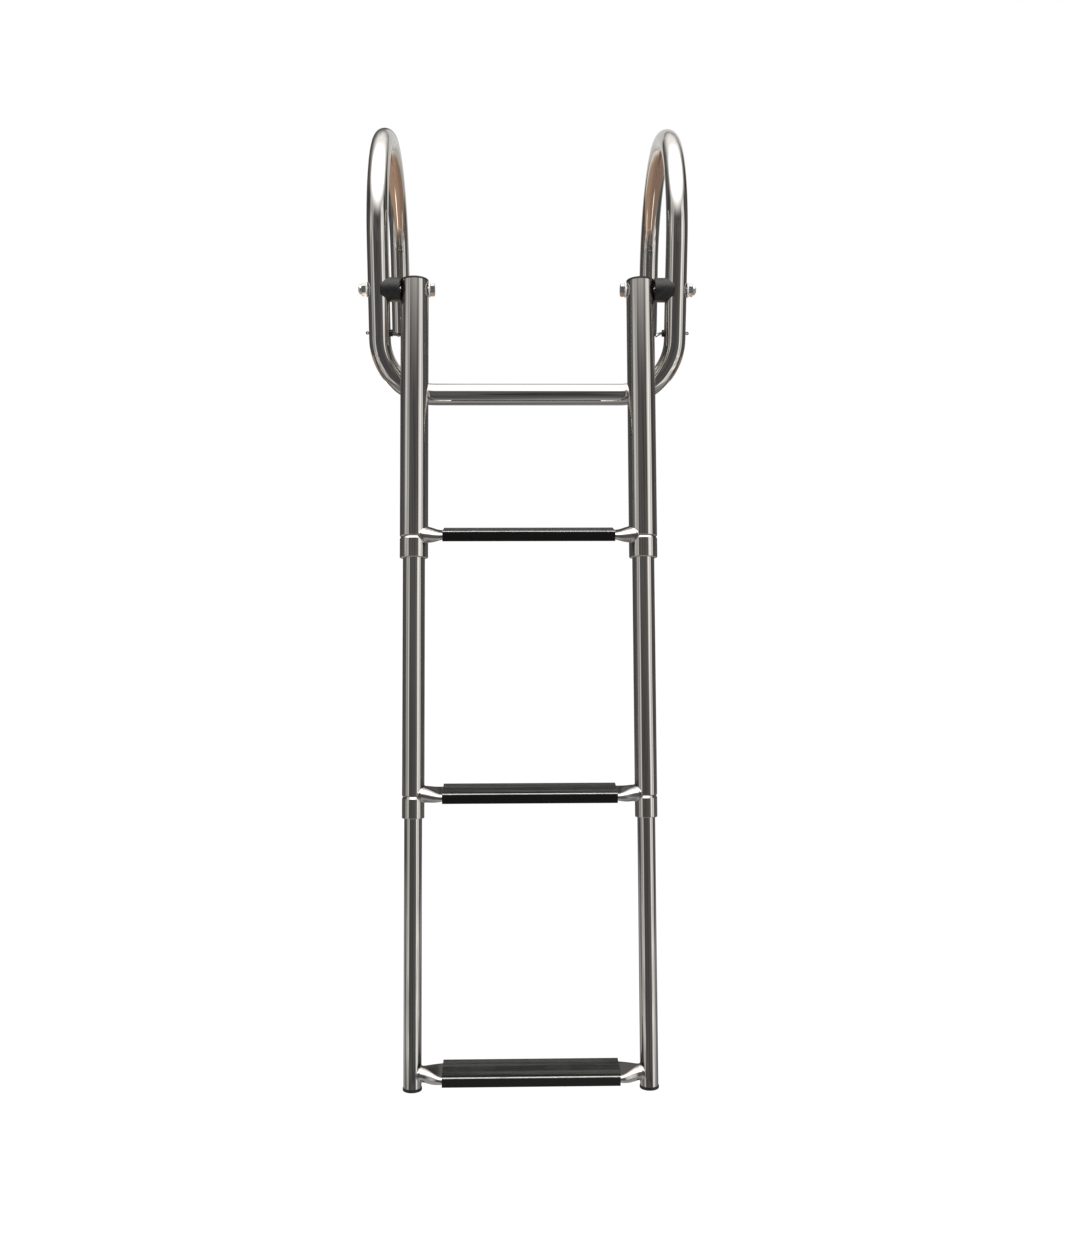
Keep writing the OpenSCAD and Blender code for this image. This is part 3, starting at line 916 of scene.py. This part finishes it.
class Bench:
    """Makes pieces of meshes and puts them on the ladder."""

    MERGE = 0.002 * MM
    FLAT = math.radians(0.6)

    @staticmethod
    def loft(segments: int, stations: Sequence[Station], ends: Ends) -> bmesh.types.BMesh:
        """Extrudes a ring through a row of stations.

        Args:
            segments: Points of the ring.
            stations: For each ring, the place of the point at an angle.
            ends: Whether the two ends stay open, are filled, or are joined to each other.

        Returns:
            The mesh, with its faces outwards.
        """
        bm = bmesh.new()
        angle = bm.verts.layers.float.new("angle")
        ring = bmesh.ops.create_circle(bm, segments=segments, radius=1.0)["verts"]
        for vert in ring:
            vert[angle] = math.atan2(vert.co.y, vert.co.x) % math.tau
        edges = first = list(bm.edges)
        for vert in ring:
            vert.co = stations[0](vert[angle])
        for station in stations[1:]:
            made = bmesh.ops.extrude_edge_only(bm, edges=edges)["geom"]
            ring = [g for g in made if isinstance(g, bmesh.types.BMVert)]
            fresh = set(ring)
            edges = [g for g in made if isinstance(g, bmesh.types.BMEdge) and set(g.verts) <= fresh]
            for vert in ring:
                vert.co = station(vert[angle])
        if ends is Ends.FILLED:
            bmesh.ops.edgeloop_fill(bm, edges=first)
            bmesh.ops.edgeloop_fill(bm, edges=edges)
        elif ends is Ends.JOINED:
            bmesh.ops.bridge_loops(bm, edges=first + edges)
        bmesh.ops.recalc_face_normals(bm, faces=bm.faces)
        return bm

    @staticmethod
    def seat(
        name: str,
        bm: bmesh.types.BMesh,
        body: str,
        finish: Finish,
        nodes: Iterable[str],
        sharp: float = 32.0,
    ) -> bpy.types.Object:
        """Makes a piece that rides on a body.

        Args:
            name: The piece's name.
            bm: Its mesh in the shared frame, which is freed.
            body: The body that carries it.
            finish: Its finish.
            nodes: The nodes that it stands for.
            sharp: Angle in degrees from which an edge stays sharp.

        Returns:
            The piece.
        """
        mesh = bpy.data.meshes.new(name)
        bm.to_mesh(mesh)
        bm.free()
        mesh.shade_smooth()
        mesh.set_sharp_from_angle(angle=math.radians(sharp))
        mesh.materials.append(finish.material())
        piece = bpy.data.objects.new(name, mesh)
        bpy.context.scene.collection.objects.link(piece)
        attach(piece, body)
        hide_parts(*nodes)
        LOG.info("%s rides on %s: %d faces", name, body, len(mesh.polygons))
        return piece

    @classmethod
    def softened(cls, source: bpy.types.Object, edge: float, sharp: float = 35.0) -> bmesh.types.BMesh:
        """Copies a solid and rounds its sharp edges.

        Args:
            source: The solid's object.
            edge: Width of the rounding in millimetres.
            sharp: Angle in degrees from which an edge is rounded.

        Returns:
            The rounded copy.
        """
        bm = bmesh.new()
        bm.from_mesh(source.data)
        bmesh.ops.remove_doubles(bm, verts=bm.verts, dist=cls.MERGE)
        bmesh.ops.dissolve_limit(bm, angle_limit=cls.FLAT, verts=bm.verts, edges=bm.edges)
        edges = [e for e in bm.edges if e.is_manifold and e.calc_face_angle() > math.radians(sharp)]
        bmesh.ops.bevel(
            bm,
            geom=edges,
            offset=edge * MM,
            offset_type="OFFSET",
            affect="EDGES",
            segments=2,
            profile=0.5,
            clamp_overlap=True,
            material=-1,
        )
        return bm

    @staticmethod
    def even_shading(piece: bpy.types.Object) -> None:
        """Keeps the flats of a rounded piece flat."""
        evened = piece.modifiers.new("even_shading", "WEIGHTED_NORMAL")
        evened.keep_sharp = True


@dataclass
class StepTube:
    """A step's tube: flat under its tread, oval and welded at the uprights. Sizes in millimetres."""

    node: str
    body: str
    upright_d: float
    drop: float
    tread_length: float = 194.0
    diameter: float = 25.0
    flat_height: float = 8.0
    end_height: float = 16.4
    wall: float = 1.2
    weld: float = 0.8
    weld_reach: float = 2.6
    taper_rings: int = 22
    points: int = 96
    gap: float = 0.05
    flare_limit: float = 0.985

    def pressed_width(self, height: float) -> float:
        """Returns the width of the round tube once it is pressed to a height."""
        return height + math.pi * (self.diameter - height) / 2

    @staticmethod
    def outline(share: float, width: float, height: float) -> tuple[float, float]:
        """Gives a point on two half rounds joined by flats.

        Args:
            share: Way round, from 0 to 1.
            width: Width over the half rounds.
            height: Height over the flats.

        Returns:
            The point's two coordinates.
        """
        flat, turn = width - height, math.pi * height / 2
        side = 1.0 if share < 0.5 else -1.0
        way = (flat + turn) * (share % 0.5) / 0.5
        angle = math.pi * min(way, turn) / turn - math.pi / 2
        across = flat / 2 - max(0.0, way - turn) + height / 2 * math.cos(angle)
        return side * across, side * height / 2 * math.sin(angle)

    def station(self, side: float, blend: float) -> Station:
        """Gives a ring of the tube.

        Args:
            side: -1 for the left end, 1 for the right end.
            blend: 0 at the tread's end, 1 at the upright.

        Returns:
            The ring's points by angle.
        """
        flat_width = self.pressed_width(self.flat_height)
        end_width = min(self.pressed_width(self.end_height), self.upright_d - 2 * self.wall)
        end_height = min(self.end_height, end_width)
        share = blend * blend * (3 - 2 * blend)
        above = self.flat_height / 2 + (end_height - self.flat_height) / 2 * share
        below = self.flat_height / 2 + (end_height - self.flat_height) / 2 * blend * (2 - blend)
        radius = self.upright_d / 2 + self.gap
        limit = radius * self.flare_limit
        centre = on_upright(self.drop)

        def point(angle: float) -> Vector:
            """Returns the ring's point at an angle."""
            way = angle / math.tau
            y_end, z_end = self.outline(way, end_width, end_height)
            off = y_end * math.cos(LEAN) - z_end * math.sin(LEAN)
            start = self.tread_length / 2
            reach = UPRIGHT_X - math.sqrt(radius**2 - off**2) - start
            left = (1.0 - blend) * reach
            flare = self.weld * max(0.0, 1.0 - left / self.weld_reach) ** 2
            width = flat_width + (end_width - flat_width) * share
            y, z = self.outline(way, width + 2 * flare, above + below + 2 * flare)
            z += (above - below) / 2
            x = start + reach * blend
            if flare > 0.0:
                off = max(-limit, min(limit, y * math.cos(LEAN) - z * math.sin(LEAN)))
                x = min(x, UPRIGHT_X - math.sqrt(radius**2 - off**2))
            return centre + Vector((side * x, y, z)) * MM

        return point

    def build(self, finish: Finish) -> None:
        """Makes the tube and seats it.

        Args:
            finish: The tube's finish.
        """
        shares = [i / self.taper_rings for i in range(self.taper_rings + 1)]
        stations = [self.station(-1.0, s) for s in reversed(shares)]
        stations += [self.station(1.0, s) for s in shares]
        bm = Bench.loft(self.points, stations, Ends.OPEN)
        piece = Bench.seat(f"{self.node}_drawn", bm, self.body, finish, [self.node], sharp=60.0)
        wall = piece.modifiers.new("wall", "SOLIDIFY")
        wall.thickness = self.wall * MM
        wall.offset = -1.0


@dataclass
class PivotBolt:
    """One pivot bolt with its washers and lock nut, along X. Sizes in millimetres.

    The nut's dome is given as heights over the nut's seat with the radii there.
    """

    side: float
    label: str
    points: int = 48
    gap: float = 0.05
    flats: float = 13.0
    bolt_d: float = 8.0
    bolt_chamfer: float = 0.7
    tail: float = 1.0
    head_face: float = 112.1
    head: float = 5.3
    head_corner: float = 1.0
    washer_t: float = 1.6
    washer_d: float = 17.0
    washer_edge: float = 0.35
    washer_steps: int = 64
    nut_face: float = 185.35
    nut: float = 8.0
    nut_hexagon: float = 5.6
    nut_corner: float = 0.8
    nut_dome: tuple[Span, ...] = ((5.7, 5.75), (7.1, 5.75), (7.7, 5.45), (8.0, 4.95))
    insert_gap: float = 0.04
    insert_depth: float = 1.6
    insert_proud: float = 0.02
    insert_rims: Span = (0.9, 0.75)

    def ring(self, x: float, radius: float, hexagon: bool = False) -> Station:
        """Gives a ring round the bolt.

        Args:
            x: Place along the bolt, outwards from the ladder's middle.
            radius: The ring's radius.
            hexagon: Whether the flats cut into it.

        Returns:
            The ring's points by angle.
        """

        def point(angle: float) -> Vector:
            """Returns the ring's point at an angle."""
            off = (angle + math.pi / 6) % (math.pi / 3) - math.pi / 6
            corner = math.pi / 6 - abs(off)
            limit = self.flats / 2 / math.cos(corner) if hexagon else radius
            r = min(radius, limit)
            return PIVOT + Vector((self.side * x, r * math.sin(angle), r * math.cos(angle))) * MM

        return point

    def round_rings(self, *rings: Span) -> list[Station]:
        """Returns round rings from their places along the bolt and their radii."""
        return [self.ring(x, radius) for x, radius in rings]

    def hexagon_rings(self, seat: float, top: float, corner: float) -> list[Station]:
        """Gives the rings of a hexagon with its corners turned off at both faces.

        Args:
            seat: Place of the face on the washer.
            top: Place of the outer face.
            corner: Height of the turned corner.

        Returns:
            The rings from the seat to the outer face.
        """
        wide = self.flats / 2 / math.cos(math.pi / 6)
        way = math.copysign(1.0, top - seat)
        return [
            self.ring(seat, self.flats / 2 * 0.97),
            self.ring(seat + way * corner * 0.6, wide * 0.985, True),
            self.ring(seat + way * corner, wide, True),
            self.ring(top - way * corner, wide, True),
            self.ring(top - way * corner * 0.45, wide * 0.955, True),
            self.ring(top, self.flats / 2 * 0.94),
        ]

    def build(self, finish: Finish, satin: Finish, nylon: Finish) -> None:
        """Makes the bolt, its nut and its washers.

        Args:
            finish: The finish of the bolt and the nut.
            satin: The washers' finish.
            nylon: The finish of the nut's insert.
        """
        self._bolt(finish)
        self._nut(finish, nylon)
        for name, face in (("inner", self.head_face), ("outer", self.nut_face - self.washer_t)):
            self._washer(f"{self.label}_{name}_washer", face, satin)

    def _bolt(self, finish: Finish) -> None:
        """Makes the shank and the head as one piece.

        Args:
            finish: Their finish.
        """
        thread = self.bolt_d / 2
        end = self.nut_face + self.nut + self.tail
        cut = self.bolt_chamfer
        rings = self.round_rings((self.head_face, thread), (end - cut, thread), (end, thread - cut))
        bolt = Bench.loft(self.points, rings, Ends.FILLED)
        rings = self.hexagon_rings(self.head_face, self.head_face - self.head, self.head_corner)
        self._join(bolt, Bench.loft(self.points, rings, Ends.FILLED))
        Bench.seat(f"{self.label}_pivot_bolt", bolt, "hook_frame", finish, ["pivot_bolts"], sharp=25.0)

    def _nut(self, finish: Finish, nylon: Finish) -> None:
        """Makes the lock nut and the nylon ring in it.

        Args:
            finish: The nut's finish.
            nylon: The ring's finish.
        """
        thread = self.bolt_d / 2
        top = self.nut_face + self.nut
        rings = self.round_rings((self.nut_face, thread + self.gap))
        rings += self.hexagon_rings(self.nut_face, self.nut_face + self.nut_hexagon, self.nut_corner)
        rings += self.round_rings(*((self.nut_face + height, radius) for height, radius in self.nut_dome))
        rings += self.round_rings((top - self.gap, thread + self.gap))
        nut = Bench.loft(self.points, rings, Ends.JOINED)
        Bench.seat(f"{self.label}_lock_nut", nut, "hook_frame", finish, ["pivot_nuts"], sharp=25.0)
        bore = thread + self.insert_gap
        low, high = top - self.insert_depth, top + self.insert_proud
        wide, narrow = (thread + rim for rim in self.insert_rims)
        rings = self.round_rings((low, bore), (low, wide), (high, narrow), (high, bore))
        insert = Bench.loft(self.points, rings, Ends.JOINED)
        Bench.seat(f"{self.label}_nut_insert", insert, "hook_frame", nylon, [])

    @staticmethod
    def _join(target: bmesh.types.BMesh, other: bmesh.types.BMesh) -> None:
        """Adds the second mesh to the first and frees it.

        Args:
            target: The mesh that grows.
            other: The mesh that is added.
        """
        holder = bpy.data.meshes.new("joined")
        other.to_mesh(holder)
        other.free()
        target.from_mesh(holder)
        bpy.data.meshes.remove(holder)

    def _washer(self, name: str, face: float, finish: Finish) -> None:
        """Spins a washer with rounded edges.

        Args:
            name: The piece's name.
            face: Place of its face nearer the ladder's middle.
            finish: Its finish.
        """
        inner, outer = self.bolt_d / 2 + self.gap, self.washer_d / 2
        centre = (self.side * (face + self.washer_t / 2), (inner + outer) / 2, 0.0)
        bm = bmesh.new()
        bmesh.ops.create_grid(bm, x_segments=1, y_segments=1, size=0.5)
        bmesh.ops.scale(bm, verts=bm.verts, vec=(self.washer_t, outer - inner, 1.0))
        bmesh.ops.translate(bm, verts=bm.verts, vec=centre)
        bmesh.ops.bevel(
            bm,
            geom=bm.verts[:],
            offset=self.washer_edge,
            offset_type="OFFSET",
            affect="VERTICES",
            segments=3,
            profile=0.5,
            material=-1,
        )
        bmesh.ops.delete(bm, geom=bm.faces[:], context="FACES_ONLY")
        bmesh.ops.spin(
            bm,
            geom=bm.verts[:] + bm.edges[:],
            cent=ORIGIN,
            axis=(1, 0, 0),
            angle=math.tau,
            steps=self.washer_steps,
            use_merge=True,
        )
        bmesh.ops.remove_doubles(bm, verts=bm.verts, dist=0.001)
        bmesh.ops.recalc_face_normals(bm, faces=bm.faces)
        bmesh.ops.transform(bm, matrix=Matrix.Translation(PIVOT) @ Matrix.Scale(MM, 4), verts=bm.verts)
        Bench.seat(name, bm, "hook_frame", finish, ["pivot_washers"], sharp=50.0)


@dataclass
class SplitPin:
    """A split pin through the slip joint: an eye outside, two legs bent down inside. Sizes in millimetres.

    A tail's points are given outwards and upwards from the place where its leg leaves the grommet.
    """

    side: float
    label: str
    height: float = -226.0
    depth: float = -137.5
    wire: float = 0.74
    points: int = 14
    eye: float = 1.25
    eye_turn: float = 0.78
    eye_steps: int = 18
    neck: float = 0.5
    throat: float = 1.0
    gap: float = 0.1
    grommet: float = 2.5
    play: float = 1.2
    short_tail: tuple[Span, ...] = ((-4.0, -0.6), (-1.2, 0.55))
    long_tail: tuple[Span, ...] = ((-1.0, -1.1), (-6.2, -4.1))

    def path(self, points: Sequence[Span]) -> bmesh.types.BMesh:
        """Draws the round wire along points.

        Args:
            points: Places along the wire, outwards from the leg's axis and upwards.

        Returns:
            The wire's mesh.
        """
        line = [Vector((self.side * (LEG_X + out), self.depth, self.height + rise)) for out, rise in points]
        stations: list[Station] = []
        for i, here in enumerate(line):
            along = (line[min(i + 1, len(line) - 1)] - line[max(i - 1, 0)]).normalized()
            first = along.cross(Vector((0.0, 1.0, 0.0))).normalized()
            second = along.cross(first)
            first, second = first * self.wire, second * self.wire
            stations.append(
                lambda a, h=here, f=first, s=second: (h + f * math.cos(a) + s * math.sin(a)) * MM
            )
        return Bench.loft(self.points, stations, Ends.FILLED)

    def build(self, finish: Finish) -> None:
        """Makes the pin's two legs and its eye.

        Args:
            finish: The wire's finish.
        """
        outside = FRAME_RADIUS + self.gap
        throat = outside - self.throat
        start = -(FRAME_RADIUS + self.grommet + self.play)
        hub = outside + self.eye + self.neck
        reach = math.pi * self.eye_turn
        turns = [reach * (1.0 - 2.0 * i / self.eye_steps) for i in range(self.eye_steps + 1)]
        ring = [(hub + self.eye * math.cos(a), self.eye * math.sin(a)) for a in turns]
        upper = [(start + out, rise) for out, rise in self.short_tail]
        upper += [(start, self.wire), (throat, self.wire)]
        lower = [(throat, -self.wire), (start, -self.wire)]
        lower += [(start + out, rise) for out, rise in self.long_tail]
        pin = self.path(upper + ring + lower)
        Bench.seat(f"{self.label}_split_pin", pin, "hook_frame", finish, ["split_pins"], sharp=50.0)


@dataclass
class SoftenedNode:
    """A solid whose sharp edges are rounded, with the width of the rounding in millimetres."""

    node: str
    body: str
    edge: float

    def build(self, nodes: Mapping[str, bpy.types.Object], finish: Finish) -> None:
        """Makes the rounded copy and seats it.

        Args:
            nodes: The solids by name.
            finish: The copy's finish.
        """
        bm = Bench.softened(nodes[self.node], self.edge)
        piece = Bench.seat(f"{self.node}_moulded", bm, self.body, finish, [self.node], sharp=45.0)
        Bench.even_shading(piece)


class Ladder:
    """The whole ladder: its finishes, its new pieces and its dressed solids."""

    SECTIONS = (
        ("upper", 32.0, 284.5),
        ("middle", 25.0, 576.0),
        ("lower", 20.0, 880.3),
    )
    TREAD_EDGE = 0.28
    SPACER_EDGE = 0.9

    def __init__(self, frame: Mapping[str, Any]) -> None:
        """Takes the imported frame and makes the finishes.
        """
        self.nodes: dict[str, bpy.types.Object] = frame["nodes"]
        self.upright = PolishedSteel("polished_upright", "tube_steel", Run.LEANING)
        self.hook = PolishedSteel("polished_hook", "tube_steel", Run.UPRIGHT)
        self.cross = PolishedSteel("polished_cross_tube", "tube_steel", Run.ACROSS)
        self.step = PolishedSteel("polished_step_tube", "tube_steel", Run.ACROSS, gloss=0.10)
        self.collar = TurnedSteel("turned_collar", "collar_steel")
        self.fastener = FastenerSteel("bright_fastener", "fastener_steel")
        self.washer = FastenerSteel(
            "satin_washer",
            "fastener_steel",
            tint=(0.86, 0.86, 0.84),
            deep_tint=(0.78, 0.78, 0.76),
            gloss=0.55,
            metal=0.3,
        )
        self.pin_wire = FastenerSteel(
            "dull_pin_wire",
            "fastener_steel",
            tint=(0.30, 0.295, 0.285),
            deep_tint=(0.16, 0.155, 0.15),
            gloss=0.30,
        )
        self.rubber = MouldedRubber("black_moulding", "black_rubber")
        self.nylon = GuideNylon("guide_bush", "guide_nylon")

    def dress(self, names: Iterable[str], finish: Finish) -> None:
        """Gives solids a finish.

        Args:
            names: The nodes.
            finish: Their finish.
        """
        for name in names:
            mesh = self.nodes[name].data
            mesh.materials.clear()
            mesh.materials.append(finish.material())
            LOG.info("%s is dressed in %s", name, finish.name)

    def dress_solids(self) -> None:
        """Gives every solid that stays its finish."""
        sides = ("left", "right")
        self.dress([f"{s}_hook" for s in sides] + ["joint_ferrules"], self.hook)
        self.dress(["cross_tube"], self.cross)
        self.dress([f"{s}_{n}_tube" for s in sides for n, _, _ in self.SECTIONS], self.upright)
        self.dress([f"{s}_{n}_collar" for s in sides for n in ("upper", "middle")], self.collar)
        plugs = [f"{s}_{n}" for s in sides for n in ("hook_plug", "top_cap", "foot_plug")]
        self.dress(plugs + ["pin_grommets"], self.rubber)
        self.dress(["upper_bushes", "middle_bushes", "middle_stop_rings", "lower_stop_rings"], self.nylon)
        self.dress(["pivot_bolts", "pivot_nuts"], self.fastener)
        self.dress(["pivot_washers"], self.washer)
        self.dress(["split_pins"], self.pin_wire)
        self.dress([f"{s}_spacer" for s in sides], self.rubber)

    def build_steps(self) -> None:
        """Makes the step tubes and their treads."""
        for name, upright_d, drop in self.SECTIONS:
            body = f"{name}_section"
            StepTube(f"{name}_step_tube", body, upright_d, drop).build(self.step)
            plastic = RibbedPlastic(f"{name}_tread_plastic", "tread_plastic", tuple(on_upright(drop)))
            self.dress([f"{name}_tread"], plastic)
            SoftenedNode(f"{name}_tread", body, self.TREAD_EDGE).build(self.nodes, plastic)

    def build_fasteners(self) -> None:
        """Makes the bolts, the split pins and the spacers."""
        for side, label in ((-1.0, "left"), (1.0, "right")):
            PivotBolt(side, label).build(self.fastener, self.washer, self.nylon)
            SplitPin(side, label).build(self.pin_wire)
            spacer = SoftenedNode(f"{label}_spacer", "hook_frame", self.SPACER_EDGE)
            spacer.build(self.nodes, self.rubber)

    def build(self) -> None:
        """Dresses the solids and makes the new pieces."""
        self.dress_solids()
        self.build_steps()
        self.build_fasteners()


def main() -> None:
    """Builds the studio and the ladder."""
    logging.basicConfig(level=logging.INFO, format="%(name)s: %(message)s")
    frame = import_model()
    Studio().build()
    Ladder(frame).build()


if __name__ == "__main__":
    main()
